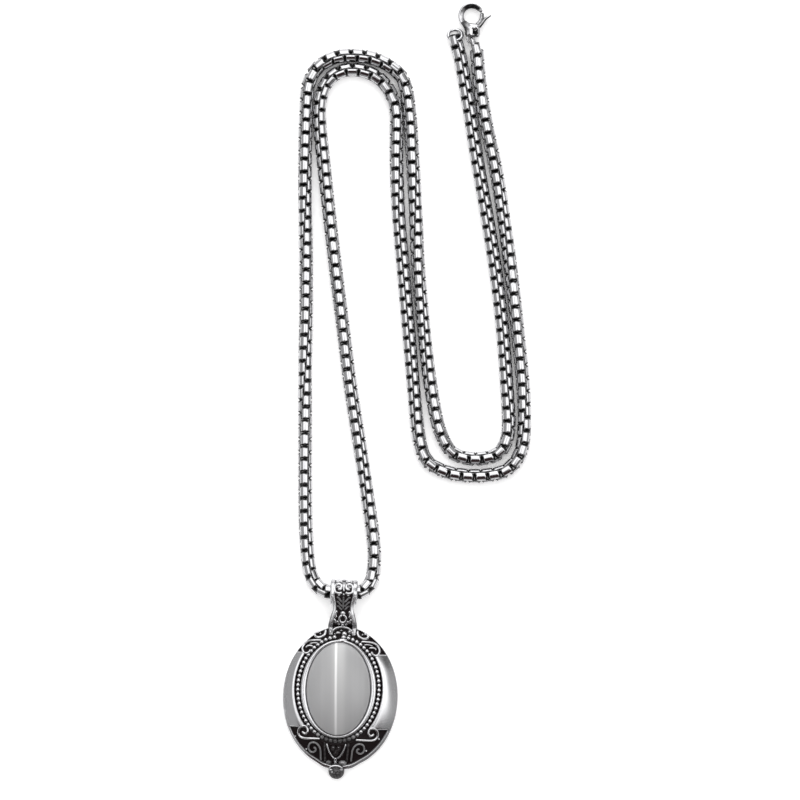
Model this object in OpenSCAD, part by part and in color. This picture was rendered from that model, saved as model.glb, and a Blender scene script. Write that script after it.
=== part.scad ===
// Oval cabochon pendant in an antiqued scroll setting, on a rounded box chain with a lobster clasp.
// The necklace lies unfastened on a flat surface, z = 0, in the nested loops that it is shown in.
// Millimetres. +X is to the right and +Y up as seen from above, and +Z points at the viewer.

/* [Pendant body] */
// Width of the oval body
body_w = 26.5; // [25:0.5:28]
// Height of the oval body, without bail and finial
body_h = 32.7; // [32:0.1:34.5]
// Height of the plain side wall above the flat back
side_h = 1.4; // [1:0.1:1.6]
// Height of the polished crescents where they meet the bead border
dome_h = 3.6; // [3.2:0.1:4]
// Depth of the oxidised scroll recesses below the crescents
recess_d = 0.8; // [0.4:0.1:1]
// Lean of the pendant's long axis, clockwise from +Y
pendant_lean = 2.2; // [0:0.1:5]

/* [Setting and stone] */
// Width of the cabochon that shows inside the bezel
stone_w = 14.7; // [13:0.1:15.2]
// Height of the cabochon that shows inside the bezel
stone_h = 21.3; // [19:0.1:21.8]
// Height of the cabochon's crown above the flat back
stone_top = 7.0; // [6:0.1:8]
// Height of the bezel's lip above the flat back
lip_h = 4.5; // [4.2:0.1:5]
// Width of the channel that the bead row sits in
channel_w = 1.3; // [1:0.1:1.5]

/* [Bail and finial] */
// Width of the bail's roll, along the chain
roll_w = 6.2; // [5:0.1:7]
// Outer diameter of the bail's roll
roll_d = 6.0; // [5.8:0.1:6.4]
// Diameter of the hole that the chain runs through
bail_hole_d = 4.1; // [4:0.1:4.4]
// Width of the neck between the roll and the body
neck_w = 5.0; // [4:0.1:6]
// Diameter of the ball at the pendant's foot
finial_d = 4.2; // [3.6:0.1:4.6]

/* [Chain and rings] */
// Outer diameter of the rounded box chain
chain_d = 3.0; // [2.6:0.1:3]
// Outer diameter of the plain ring at the chain's free end
end_ring_d = 4.0; // [3.6:0.1:4.2]
// Wire diameter of the plain ring
end_ring_wire = 0.84; // [0.7:0.02:1]
// Outer diameter of the jump ring between chain and clasp
jump_ring_d = 3.3; // [3:0.1:3.5]
// Wire diameter of the jump ring
jump_ring_wire = 0.7; // [0.6:0.02:0.72]

/* [Clasp] */
// Outer diameter of the clasp's hook
hook_d = 6.1; // [5.8:0.1:6.4]
// Width of the hook's band, seen from above
hook_band = 1.3; // [1.1:0.1:1.4]
// Thickness of the hook and the tail eye
hook_t = 2.0; // [1.6:0.1:2.2]
// Thickness of the clasp's body
clasp_t = 2.6; // [2.4:0.1:3]
// Angle that the lever is drawn back by, for a view of the open clasp
lever_open = 0; // [0:1:25]

/* [Hidden] */
$fn = 48;

// The frame's origin is below the middle of the laid necklace's box
pendant_at = [-15.1, -70.3];
end_ring_at = [11.3, 82.0];
end_ring_tilt = -33;
jump_ring_at = [15.45, 79.95];
jump_ring_turn = 20;
hook_at = [15.05, 86.4];

// Pendant: sizes that follow from the driving dimensions, in the pendant's own frame
facets = 48;
setting_at = [-0.5, 2.0];
bezel_w = 1.3;
bezel_h = 0.65;
border_w = 0.5;
border_rise = 0.1;
channel_z = dome_h - 0.7;
seat_z = 3.4;
seat_gap = 0.1;
crescent_low = -27;
crescent_high = 41;
roll_at = [-0.1, 24.2];
roll_r = roll_d / 2;
foot_w = 6.4;
foot_y = 14.2;
flare_y = 16.6;
neck_y = 20.2;
shoulder_y = 22.6;
neck_top_z = 4.3;
neck_low_z = 1.0;
finial_at = [-0.25, -17.0];

// Neck of the bail from the side, as [y, z], and the right half of it from above, as [x, y]
neck_side = [
    [foot_y, neck_low_z], [roll_at.y - 2, neck_low_z], [roll_at.y - 1.2, roll_d - 0.4],
    [flare_y, neck_top_z], [foot_y, neck_top_z - 0.4]
];
neck_plan = [
    [0, foot_y], [foot_w / 2, foot_y], [foot_w / 2, flare_y], [neck_w / 2, neck_y],
    [roll_w / 2, shoulder_y], [roll_w / 2, roll_at.y], [0, roll_at.y]
];

// Shape of the body's front from its outline to the bead border: the share of that way in, the
// height on the polished crescents as a share of the rise from side wall to border, and the share
// of the recess's depth that the oxidised scroll grounds lie below it
front_shape = [
    // share_in, rise, sunk
    [0.00, 0.00, 0.0],
    [0.06, 0.22, 0.2],
    [0.14, 0.42, 1.0],
    [0.35, 0.72, 1.0],
    [0.62, 0.92, 1.0],
    [0.90, 1.00, 1.0]
];

// Shape of the cabochon: share of the way from its middle to its edge, and height as a share of
// the dome
dome_shape = [for (a = [0:14:84]) [cos(a), sin(a)]];

// Route of the chain's middle, from the plain ring to the clasp, as [x, y, z]: it lies on the
// surface, climbs to pass through the bail, and rises to the ring that leans on the surface
lie = 1.5;
climb = 2.0;
lift = 2.7;
end_rise = 1.9;
route = [
    // right leg of the inner strand, down from the plain ring
    [11.7, 79.8, end_rise], [12.6, 76.2, lie], [14.4, 65.9, lie], [16.4, 53.2, lie], [18.6, 40.6, lie],
    [20.6, 27.9, lie], [22.1, 15.3, lie], [23.1, 2.6, lie], [23.6, -7.5, lie],
    // inner U
    [22.7, -12.1, lie], [20.6, -14.5, lie], [17.2, -15.4, lie], [13.6, -15.2, lie],
    [10.6, -13.9, lie], [8.6, -10.9, lie],
    // middle leg, up to the outer arch
    [7.0, -6.1, lie], [5.3, 3.8, lie], [3.9, 16.4, lie], [2.8, 29.1, lie], [2.2, 41.7, lie],
    [1.5, 54.4, lie], [0.8, 64.7, lie],
    // outer arch
    [-0.5, 71.2, lie], [-3.1, 74.3, lie], [-7.0, 76.4, lie], [-11.4, 77.2, lie],
    [-15.9, 76.9, lie], [-19.8, 74.9, lie], [-22.1, 71.6, lie], [-22.9, 67.0, lie],
    // left leg, down to the bail
    [-23.2, 55.5, lie], [-23.2, 42.9, lie], [-23.0, 30.2, lie], [-23.0, 17.6, lie],
    [-23.2, 4.9, lie], [-23.2, -7.7, lie], [-23.2, -20.4, lie], [-23.0, -31.9, lie],
    [-22.2, -40.6, lie], [-20.4, -44.5, climb],
    // through the bail
    [-17.8, -46.0, lift], [-14.3, -46.1, lift], [-10.7, -46.1, lift],
    [-8.5, -44.4, climb], [-7.5, -41.3, lie],
    // left leg of the other strand, up from the bail
    [-7.4, -35.3, lie], [-8.9, -23.8, lie], [-10.8, -11.2, lie], [-12.8, 1.5, lie],
    [-14.4, 14.1, lie], [-16.0, 26.8, lie], [-17.5, 39.4, lie], [-18.9, 52.1, lie],
    [-19.9, 62.9, lie],
    // inner arch
    [-19.3, 68.7, lie], [-17.1, 72.3, lie], [-13.7, 73.9, lie], [-9.9, 73.7, lie],
    [-6.4, 72.1, lie], [-3.8, 69.0, lie], [-2.3, 64.3, lie],
    // middle leg, down to the outer U
    [-2.2, 53.2, lie], [-1.7, 40.6, lie], [-0.6, 27.9, lie], [0.5, 15.3, lie], [1.6, 2.6, lie],
    [2.9, -10.2, lie],
    // outer U
    [4.8, -15.8, lie], [8.7, -18.3, lie], [13.3, -19.3, lie], [18.4, -19.3, lie],
    [22.8, -18.2, lie], [25.8, -15.1, lie], [27.1, -9.8, lie],
    // right leg, up to the clasp
    [27.0, 0.3, lie], [25.8, 13.0, lie], [24.4, 25.6, lie], [22.7, 38.3, lie],
    [20.7, 51.0, lie], [18.3, 62.4, lie], [16.9, 71.6, lie], [16.3, 78.0, lie]
];
tube_sides = 8;

// Clasp: sizes in its own frame, whose origin is the middle of the hook
hook_r = (hook_d - hook_band) / 2;
hook_tip = 20;
hook_root = 232;
pivot_at = [0.6, -2.75];
pin_d = 0.7;
pin_gap = 0.06;
slot_t = 1.3;
lever_t = 1.1;
eye_at = [0, -5.3];
eye_d = 2.3;
eye_hole_d = 1.6;
eye_t = 0.8;
gate_from = -58;
gate_gap = 4;
gate_band = 1.0;
hub_d = 1.5;
window_at = [0.3, -4.2];
window_size = [1.2, 0.8];

// Outlines from above, in the clasp's own frame: the spring case, the slot inside it, the web
// between the lever's hub and gate, and the thumb tab
case_outline = [
    [-2.6, -1.6], [-1.5, -3.0], [-1.4, -4.4], [-1.0, -4.8], [1.5, -4.8], [1.9, -4.4],
    [1.85, -2.4], [1.3, -1.9], [0.4, -1.8], [-0.8, -1.6], [-1.4, -1.0]
];
slot_outline = [
    [-0.4, -4.3], [1.5, -4.3], [1.5, -3.7], [4, -3.7], [4, -0.4], [1.2, -1.0], [-0.2, -1.5]
];
web_outline = [[0.1, -2.3], [1.0, -1.7], [1.75, -1.9], [1.3, -2.9]];
tab_outline = [
    [1.0, -3.3], [2.0, -2.7], [3.4, -0.8], [4.6, 0.0], [4.5, 0.45], [3.1, -0.2], [1.8, -1.9],
    [1.1, -2.2]
];

function lerp(a, b, t) = a + (b - a) * t;

// One level ring of an oval about c, with half width a and half height b
function oval(c, a, b, z) = [for (i = [0:facets - 1])
    [c.x + a * cos(i * 360 / facets), c.y + b * sin(i * 360 / facets), z]];

// True where an angle about the body's middle falls on one of the two polished crescents
function on_crescent(angle) = let (a = angle > 180 ? angle - 360 : angle, m = a > 90 ? 180 - a :
    a < -90 ? -180 - a : a) m > crescent_low && m < crescent_high;

// A ring of the body's front, part of the way from the outline to the bead border
function front_ring(row) = let (
        t = row[0],
        c = [lerp(0, setting_at.x, t), lerp(0, setting_at.y, t)],
        a = lerp(body_w / 2, border_a, t),
        b = lerp(body_h / 2, border_b, t),
        top = lerp(side_h, dome_h, row[1]))
    [for (i = [0:facets - 1]) let (angle = i * 360 / facets)
        [c.x + a * cos(angle), c.y + b * sin(angle),
         max(side_h, top - (on_crescent(angle) ? 0 : recess_d * row[2]))]];

// Half sizes of the nested ovals of the setting
stone_a = stone_w / 2;
stone_b = stone_h / 2;
bezel_a = stone_a + bezel_w;
bezel_b = stone_b + bezel_h;
border_a = bezel_a + channel_w + border_w;
border_b = bezel_b + channel_w + border_w;

// Stacks rings into a closed solid; each ring has the same number of points
module loft(rings) {
    n = len(rings[0]);
    last = len(rings) - 1;
    polyhedron(
        points = [for (ring = rings) each ring],
        faces = concat(
            [[for (i = [0:n - 1]) i]],
            [for (k = [0:last - 1], i = [0:n - 1]) let (j = (i + 1) % n)
                each [[k * n + i, (k + 1) * n + i, (k + 1) * n + j],
                      [k * n + i, (k + 1) * n + j, k * n + j]]],
            [[for (i = [n - 1:-1:0]) last * n + i]]));
}

// Cast body: flat back, side wall, domed front, bead border and channel, bezel and stone seat
module body() {
    loft(concat(
        [oval([0, 0], body_w / 2, body_h / 2, 0)],
        [for (row = front_shape) front_ring(row)],
        [oval(setting_at, border_a, border_b, dome_h + border_rise),
         oval(setting_at, border_a - border_w, border_b - border_w, dome_h + border_rise),
         oval(setting_at, bezel_a + channel_w, bezel_b + channel_w, channel_z),
         oval(setting_at, bezel_a, bezel_b, channel_z),
         oval(setting_at, lerp(stone_a, bezel_a, 0.9), lerp(stone_b, bezel_b, 0.9), dome_h),
         oval(setting_at, lerp(stone_a, bezel_a, 0.3), lerp(stone_b, bezel_b, 0.3), lip_h),
         oval(setting_at, stone_a + seat_gap, stone_b + seat_gap, lip_h),
         oval(setting_at, stone_a + seat_gap, stone_b + seat_gap, seat_z)]));
}

// Bail: a roll with a round hole, and a neck that flares down on to the body's top edge
module bail() {
    difference() {
        union() {
            translate([roll_at.x, roll_at.y, roll_r]) rotate([0, 90, 0])
                cylinder(h = roll_w, d = roll_d, center = true);
            intersection() {
                translate([-foot_w, 0, 0]) rotate([90, 0, 90]) linear_extrude(2 * foot_w)
                    polygon(neck_side);
                linear_extrude(roll_d) {
                    polygon(neck_plan);
                    mirror([1, 0]) polygon(neck_plan);
                }
            }
        }
        translate([roll_at.x, roll_at.y, roll_r]) rotate([0, 90, 0])
            cylinder(h = 2 * roll_w, d = bail_hole_d, center = true);
    }
}

module in_pendant_place() {
    translate([pendant_at.x, pendant_at.y, 0]) rotate([0, 0, -pendant_lean]) children();
}

// Pendant: one casting of body, bezel, bail and finial ball
module pendant() {
    color("silver") in_pendant_place() {
        union() {
            body();
            bail();
            translate([finial_at.x, finial_at.y, finial_d / 2]) sphere(d = finial_d);
        }
    }
}

// Cabochon: an oval stone with a straight girdle and a domed crown, held by the bezel
module cabochon() {
    girdle_z = lip_h - 0.2;
    dome = stone_top - girdle_z;
    color("darkgray") in_pendant_place()
        loft(concat(
            [oval(setting_at, stone_a, stone_b, seat_z + seat_gap)],
            [for (row = dome_shape)
                oval(setting_at, stone_a * row[0], stone_b * row[0], girdle_z + dome * row[1])]));
}

// Unit vector from one route point to another
function way(a, b) = (b - a) / norm(b - a);

// Direction of the route at its point i
function heading(i) = way(route[max(i - 1, 0)], route[min(i + 1, len(route) - 1)]);

// Ring of the tube round route point i, square to the route, with a flat side down
function tube_ring(i) = let (
        along = heading(i),
        side = cross(along, [0, 0, 1]) / norm(cross(along, [0, 0, 1])),
        up = cross(side, along))
    [for (k = [0:tube_sides - 1]) let (angle = (k + 0.5) * 360 / tube_sides)
        route[i] + chain_d / 2 * (cos(angle) * side + sin(angle) * up)];

// Rounded box chain: its outer form, one tube along its whole route
module chain() {
    color("gainsboro") loft([for (i = [0:len(route) - 1]) tube_ring(i)]);
}

module ring(d, wire) {
    rotate_extrude() translate([(d - wire) / 2, 0]) circle(d = wire, $fn = 24);
}

// Plain ring at the free end, for the clasp to hook into: its far side rests on the surface
module end_ring() {
    rise = (end_ring_d - end_ring_wire) / 2 * sin(abs(end_ring_tilt)) + end_ring_wire / 2;
    color("silver") translate([end_ring_at.x, end_ring_at.y, rise])
        rotate([end_ring_tilt, 0, 0]) ring(end_ring_d, end_ring_wire);
}

// Jump ring that stands on edge through the clasp's tail eye
module jump_ring() {
    color("silver") translate([jump_ring_at.x, jump_ring_at.y, jump_ring_d / 2])
        rotate([0, 0, jump_ring_turn]) rotate([0, 90, 0]) ring(jump_ring_d, jump_ring_wire);
}

// Upright round-ended section of the hook's band
module band_section(t, w) {
    translate([hook_r, 0]) {
        square([w, t - w], center = true);
        for (s = [-1, 1]) translate([0, s * (t - w) / 2]) circle(d = w, $fn = 24);
    }
}

module in_clasp_place() {
    translate([hook_at.x, hook_at.y, clasp_t / 2]) children();
}

module slab(t) {
    linear_extrude(t, center = true) children();
}

// Clasp body: hook, hollow spring case, tail eye and riveted pivot pin
module clasp_body() {
    color("silver") in_clasp_place() {
        difference() {
            union() {
                rotate([0, 0, hook_tip]) rotate_extrude(angle = hook_root - hook_tip)
                    band_section(hook_t, hook_band);
                slab(clasp_t) polygon(case_outline);
                slab(eye_t) translate(eye_at) circle(d = eye_d);
            }
            slab(slot_t) polygon(slot_outline);
            translate(window_at) cube([window_size.x, window_size.y, clasp_t]);
            slab(2 * clasp_t) translate(eye_at) circle(d = eye_hole_d);
        }
        translate([pivot_at.x, pivot_at.y, 0]) cylinder(h = clasp_t, d = pin_d, center = true);
    }
}

// Clasp lever: gate, hub and thumb tab in one, turning on the pin
module clasp_lever() {
    color("silver") in_clasp_place()
        translate([pivot_at.x, pivot_at.y, 0]) rotate([0, 0, -lever_open])
            translate([-pivot_at.x, -pivot_at.y, 0]) {
        difference() {
            union() {
                rotate([0, 0, gate_from]) rotate_extrude(angle = hook_tip - gate_gap - gate_from)
                    band_section(lever_t, gate_band);
                slab(lever_t) {
                    translate(pivot_at) circle(d = hub_d);
                    polygon(web_outline);
                    polygon(tab_outline);
                }
            }
            translate([pivot_at.x, pivot_at.y, 0])
                cylinder(h = 2 * clasp_t, d = pin_d + 2 * pin_gap, center = true);
        }
    }
}

pendant();
cabochon();
chain();
end_ring();
jump_ring();
clasp_body();
clasp_lever();
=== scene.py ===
"""Oval cabochon pendant in an antiqued scroll setting, on a rounded box chain, laid out unfastened."""

import bpy
import numpy as np
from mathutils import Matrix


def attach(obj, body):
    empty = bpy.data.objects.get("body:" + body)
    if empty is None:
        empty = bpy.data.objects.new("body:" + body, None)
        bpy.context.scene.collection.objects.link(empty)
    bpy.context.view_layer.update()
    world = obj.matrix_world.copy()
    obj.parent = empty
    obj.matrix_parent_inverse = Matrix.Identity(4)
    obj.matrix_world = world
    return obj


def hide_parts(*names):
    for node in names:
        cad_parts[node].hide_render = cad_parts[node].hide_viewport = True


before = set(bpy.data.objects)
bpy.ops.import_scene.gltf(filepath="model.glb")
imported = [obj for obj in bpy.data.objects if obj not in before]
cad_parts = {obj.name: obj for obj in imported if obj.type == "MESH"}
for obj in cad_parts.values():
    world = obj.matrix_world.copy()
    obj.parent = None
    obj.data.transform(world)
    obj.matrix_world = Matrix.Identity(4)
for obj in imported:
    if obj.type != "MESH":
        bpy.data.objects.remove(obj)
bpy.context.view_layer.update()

# Camera: straight above the necklace, with the photograph's 184 mm across the frame.
FRAME_WIDTH = 0.184
FRAME_MIDDLE = (-0.00138, -0.001955)
CAMERA_HEIGHT = 1.2
CHAIN_HEIGHT = 0.0015
camera_data = bpy.data.cameras.new("camera")
camera_data.sensor_width = 36
camera_data.lens = camera_data.sensor_width * (CAMERA_HEIGHT - CHAIN_HEIGHT) / FRAME_WIDTH
camera_data.clip_end = 10
camera = bpy.data.objects.new("camera", camera_data)
camera.location = (*FRAME_MIDDLE, CAMERA_HEIGHT)
bpy.context.scene.collection.objects.link(camera)
bpy.context.scene.camera = camera
bpy.context.scene.view_settings.view_transform = "Standard"


# Studio: an overlit sheet of white paper under a grey tent, open overhead and towards the far side
# and the right. The tent's panels are fitted, so that polished metal shows the photograph's white
# faces, grey flanks, dark near ends and dark outline.
def add(tree, kind, inputs=None, **settings):
    """Adds a node, sets its properties, and sets its inputs or links them to other outputs."""
    made = tree.nodes.new(kind)
    for name, value in settings.items():
        setattr(made, name, value)
    for name, value in (inputs or {}).items():
        if isinstance(value, bpy.types.NodeSocket):
            tree.links.new(value, made.inputs[name])
        else:
            made.inputs[name].default_value = value
    return made


def colour(code):
    """sRGB hex to linear RGBA: v / 12.92 below 0.04045, and ((v + 0.055) / 1.055) ^ 2.4 above."""
    v = np.array([int(code[i:i + 2], 16) for i in (1, 3, 5)]) / 255
    linear = np.where(v < 0.04045, v / 12.92, ((v + 0.055) / 1.055) ** 2.4)
    return (*linear, 1.0)


def panel(tree, direction, x_range, y_range, edge):
    """A panel of the tent: 1 where the sky's direction lies in both ranges, with soft edges."""
    sides = []
    for axis, (low, high) in (("X", x_range), ("Y", y_range)):
        off = add(tree, "ShaderNodeMath", {0: direction.outputs[axis], 1: (low + high) / 2},
                  operation="SUBTRACT").outputs[0]
        off = add(tree, "ShaderNodeMath", {0: off}, operation="ABSOLUTE").outputs[0]
        half = (high - low) / 2
        sides.append(add(tree, "ShaderNodeMapRange", {
            "Value": off, "From Min": half - edge, "From Max": half + edge,
            "To Min": 1.0, "To Max": 0.0}, interpolation_type="SMOOTHSTEP").outputs[0])
    return add(tree, "ShaderNodeMath", {0: sides[0], 1: sides[1]}, operation="MULTIPLY").outputs[0]


TENT_GREY = 0.54
OPENING_LIGHT = 1.75
world = bpy.data.worlds.new("studio")
bpy.context.scene.world = world
world.use_nodes = True
sky = world.node_tree
sky.nodes.clear()
direction = add(sky, "ShaderNodeSeparateXYZ", {
    0: add(sky, "ShaderNodeTexCoord").outputs["Generated"]})
opening = panel(sky, direction, (-0.47, 0.78), (-0.28, 1.3), 0.15)
lens = panel(sky, direction, (-0.17, 0.17), (-0.17, 0.17), 0.08)
flag = panel(sky, direction, (0.25, 0.95), (0.20, 0.72), 0.04)
stand = add(sky, "ShaderNodeMath", {
    0: panel(sky, direction, (-0.24, 0.24), (-0.7, -0.10), 0.035),
    1: panel(sky, direction, (-0.6, 0.6), (-0.86, -0.32), 0.05)}, operation="MAXIMUM").outputs[0]
corner = panel(sky, direction, (0.3, 1.3), (-1.3, -0.35), 0.1)
light = add(sky, "ShaderNodeMath", {0: opening, 1: OPENING_LIGHT, 2: TENT_GREY},
            operation="MULTIPLY_ADD").outputs[0]
for dark, left in ((lens, 0.6), (flag, 0.22), (corner, 0.5)):
    shade = add(sky, "ShaderNodeMapRange", {"Value": dark, "To Min": 1.0, "To Max": left}).outputs[0]
    light = add(sky, "ShaderNodeMath", {0: light, 1: shade}, operation="MULTIPLY").outputs[0]
horizon = add(sky, "ShaderNodeMapRange", {
    "Value": direction.outputs["Z"], "From Min": 0.03, "From Max": 0.14, "To Min": 0.3,
    "To Max": 1.0}, interpolation_type="SMOOTHSTEP").outputs[0]
light = add(sky, "ShaderNodeMath", {0: light, 1: horizon}, operation="MULTIPLY").outputs[0]
tone = add(sky, "ShaderNodeMix", {"Factor": stand, 6: light, 7: colour("#38292a")},
           data_type="RGBA").outputs[2]
background = add(sky, "ShaderNodeBackground", {"Color": tone})
add(sky, "ShaderNodeOutputWorld", {"Surface": background.outputs[0]})

# The paper has a glow of its own, to be as white as the photograph's. It fades in narrow gaps, which
# would shine otherwise.
PAPER_GLOW, GAP_REACH = 0.38, 0.005
GAP_SHUT, GAP_OPEN = 0.08, 0.32
bpy.ops.mesh.primitive_plane_add(size=3.0, location=(0, 0, -0.00005))
floor = bpy.context.object
floor.name = "floor"
white = bpy.data.materials.new("white_paper")
white.use_nodes = True
paper = white.node_tree.nodes["Principled BSDF"]
gaps = add(white.node_tree, "ShaderNodeAmbientOcclusion", {"Distance": GAP_REACH}, samples=8).outputs["AO"]
glow = add(white.node_tree, "ShaderNodeMapRange", {
    "Value": gaps, "From Min": GAP_SHUT, "From Max": GAP_OPEN, "To Min": 0.0,
    "To Max": PAPER_GLOW}).outputs[0]
white.node_tree.links.new(glow, paper.inputs["Emission Strength"])
paper.inputs["Base Color"].default_value = colour("#fcfcfc")
paper.inputs["Roughness"].default_value = 0.9
paper.inputs["Emission Color"].default_value = colour("#ffffff")
floor.data.materials.append(white)


# Pendant body: one casting in stainless steel, with a flat back, a plain side wall and a domed
# front. Two crescents of the front are polished. Above and below them the front is sunk and
# blackened, and so is the channel that the beads stand in. A polished rim runs round the foot.
MM = 0.001
PENDANT_AT = np.array([-15.1, -70.3])
PENDANT_LEAN = np.radians(2.2)
BODY = np.array([26.5, 32.7]) / 2
SETTING_AT = np.array([-0.5, 2.0])
STONE = np.array([14.7, 21.3]) / 2
BEZEL = STONE + (1.3, 0.65)
CHANNEL_W = 1.3
BORDER = BEZEL + CHANNEL_W + 0.5
DOME_H, CHANNEL_Z = 3.6, 2.85
DOME_POWER, DOME_SLOPE, DOME_RISE = 1.5, 0.54, 1.9
RECESS_D = 0.7
GROUND_BELOW, GROUND_ABOVE = -7.0, 10.1
TOP_RIM, FOOT_RIM = 0.06, 0.15
FOOT_DROP, FOOT_REACH, FOOT_SHOULDER = 0.38, 5.4, 2.6


def in_place(points):
    """Pendant millimetres to frame metres: turned clockwise by its lean, then moved to its place."""
    x, y, z = np.moveaxis(np.asarray(points, float), -1, 0)
    c, s = np.cos(PENDANT_LEAN), np.sin(PENDANT_LEAN)
    return MM * np.stack([PENDANT_AT[0] + c * x + s * y, PENDANT_AT[1] - s * x + c * y, z], -1)


def sheet_faces(rows, columns, closed_rows=False, closed_columns=True):
    """Quads of a grid of rows by columns of points; a closed way runs on from its last to its first."""
    r = np.arange(rows if closed_rows else rows - 1)[:, None]
    c = np.arange(columns if closed_columns else columns - 1)[None, :]
    r2, c2 = (r + 1) % rows, (c + 1) % columns
    corners = [r * columns + c, r * columns + c2, r2 * columns + c2, r2 * columns + c]
    return np.stack(np.broadcast_arrays(*corners), -1).reshape(-1, 4)


def capped(rings, flip=False):
    """Closed skin over stacked rings (n, m, 3), with a point at the middle of each end ring."""
    n, m = rings.shape[:2]
    points = np.concatenate([rings.reshape(-1, 3), [rings[0].mean(0)], [rings[-1].mean(0)]])
    i = np.arange(m)
    j = (i + 1) % m
    first = np.stack([np.full(m, n * m), j, i], -1)
    last = np.stack([np.full(m, n * m + 1), (n - 1) * m + i, (n - 1) * m + j], -1)
    faces = [list(f) for part in (sheet_faces(n, m), first, last) for f in part.tolist()]
    if flip:
        faces = [f[::-1] for f in faces]
    return points, faces


def piece(name, points, faces, material, body="necklace", oxide_and_shade=None):
    """Makes a mesh object from frame metres, with its share of blackening and painted shade at each point."""
    mesh = bpy.data.meshes.new(name)
    mesh.from_pydata(np.asarray(points).tolist(), [], [list(map(int, f)) for f in faces])
    mesh.polygons.foreach_set("use_smooth", np.full(len(mesh.polygons), True))
    if oxide_and_shade is not None:
        layer = mesh.attributes.new("oxide_and_shade", "FLOAT", "POINT")
        layer.data.foreach_set("value", np.asarray(oxide_and_shade, np.float32))
    mesh.materials.append(material)
    mesh.update()
    made = bpy.data.objects.new(name, mesh)
    bpy.context.scene.collection.objects.link(made)
    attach(made, body)
    return made


def joined(parts):
    """Many (points, faces, blackening and painted shade) as one."""
    start, points, faces, oxide_and_shade = 0, [], [], []
    for p, f, o in parts:
        points.append(np.asarray(p))
        faces += [[k + start for k in face] for face in (f.tolist() if hasattr(f, "tolist") else f)]
        oxide_and_shade.append(np.full(len(p), o) if np.isscalar(o) else np.asarray(o))
        start += len(p)
    return np.concatenate(points), faces, np.concatenate(oxide_and_shade)


def antiqued_steel(name, polish, black_and_shade, grain_mm, smooth=0.1):
    """Stainless steel, tumbled bright, then blackened and wiped back where the piece is antiqued.

    A per-point attribute says how dark each point is: blackening left in the hollows, and on some
    parts painted shade. The bright parts mirror softly, the dark ones are dull and grainy, and the
    wiped edge between them is uneven.
    """
    made = bpy.data.materials.new(name)
    made.use_nodes = True
    tree = made.node_tree
    tree.nodes.clear()
    place = add(tree, "ShaderNodeTexCoord").outputs["Object"]
    grain = add(tree, "ShaderNodeTexNoise", {
        "Vector": place, "Scale": 1 / (grain_mm * MM), "Detail": 3.0}).outputs["Fac"]
    left = add(tree, "ShaderNodeAttribute", attribute_name="oxide_and_shade").outputs["Fac"]
    uneven = add(tree, "ShaderNodeMath", {0: grain, 1: 0.4, 2: -0.2}, operation="MULTIPLY_ADD").outputs[0]
    edge = add(tree, "ShaderNodeMath", {0: left, 1: uneven}, operation="ADD").outputs[0]
    share = add(tree, "ShaderNodeMapRange", {
        "Value": edge, "From Min": 0.2, "From Max": 0.85}, interpolation_type="SMOOTHSTEP").outputs[0]
    tint = add(tree, "ShaderNodeMix", {"Factor": share, 6: colour(polish), 7: colour(black_and_shade)},
               data_type="RGBA").outputs[2]
    rough = add(tree, "ShaderNodeMapRange", {"Value": share, "To Min": smooth, "To Max": 0.4}).outputs[0]
    rough = add(tree, "ShaderNodeMath", {0: grain, 1: 0.08, 2: rough}, operation="MULTIPLY_ADD").outputs[0]
    metal = add(tree, "ShaderNodeMath", {0: 1.0, 1: share}, operation="SUBTRACT").outputs[0]
    bump = add(tree, "ShaderNodeBump", {"Height": grain, "Strength": 0.08, "Distance": 0.05 * MM})
    surface = add(tree, "ShaderNodeBsdfPrincipled", {
        "Base Color": tint, "Roughness": rough, "Metallic": metal, "Specular IOR Level": 0.15,
        "Normal": bump.outputs[0]})
    add(tree, "ShaderNodeOutputMaterial", {"Surface": surface.outputs[0]})
    return made


cast_steel = antiqued_steel("antiqued_cast_steel", "#c4c4c6", "#1a1314", 0.35, smooth=0.17)


def front_rise(t, width):
    """Height of the polished front, t of the way over the width from outline to border.

    It falls from the border by (1 - t)^p of a share of the width, so its slope is alike all round.
    """
    fall = np.minimum(DOME_SLOPE * width, DOME_RISE)
    return DOME_H - fall * (1 - np.clip(t, 0, 1)) ** DOME_POWER


def front_z(x, y):
    """Height of the polished front above a point of the pendant, from its shares of both ovals."""
    r = np.hypot(x, y)
    out = r * (1 / np.maximum(np.hypot(x / BODY[0], y / BODY[1]), 1e-6) - 1)
    dx, dy = x - SETTING_AT[0], y - SETTING_AT[1]
    inward = np.hypot(dx, dy) * (1 - 1 / np.maximum(np.hypot(dx / BORDER[0], dy / BORDER[1]), 1e-6))
    width = out + np.maximum(inward, 0)
    return front_rise(out / np.maximum(width, 1e-6), width)


def ramp(value, start, length):
    """0 below start, rising evenly to 1 over length."""
    return np.clip((value - start) / length, 0, 1)


def ground(y):
    """1 on the sunk scroll grounds above and below, 0 on the polished crescents between them."""
    return np.maximum(ramp(y, GROUND_ABOVE, 0.25), ramp(-y, -GROUND_BELOW, 0.25))


AROUND = 600
theta = np.arange(AROUND) * 2 * np.pi / AROUND
circle = np.stack([np.cos(theta), np.sin(theta)], -1)


def oval(centre, half, z=0.0):
    """Ring on an oval, at one height or a height for each point."""
    return np.concatenate([centre + circle * half, np.broadcast_to(z, (AROUND,))[:, None]], -1)


def with_foot(ring, share=1.0):
    """Lets the outline down by a share of the foot's drop beside the ball, in a smooth shoulder."""
    near = ramp(-np.abs(ring[:, 0]), -FOOT_REACH, FOOT_SHOULDER) * (ring[:, 1] < 0)
    ring[:, 1] -= share * FOOT_DROP * near * near * (3 - 2 * near)
    return ring


rings, ring_oxide_and_shade = [], []
front_width = np.hypot(*(circle * (BODY - BORDER) - SETTING_AT).T)
edge_z = front_rise(0.0, front_width)
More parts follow.
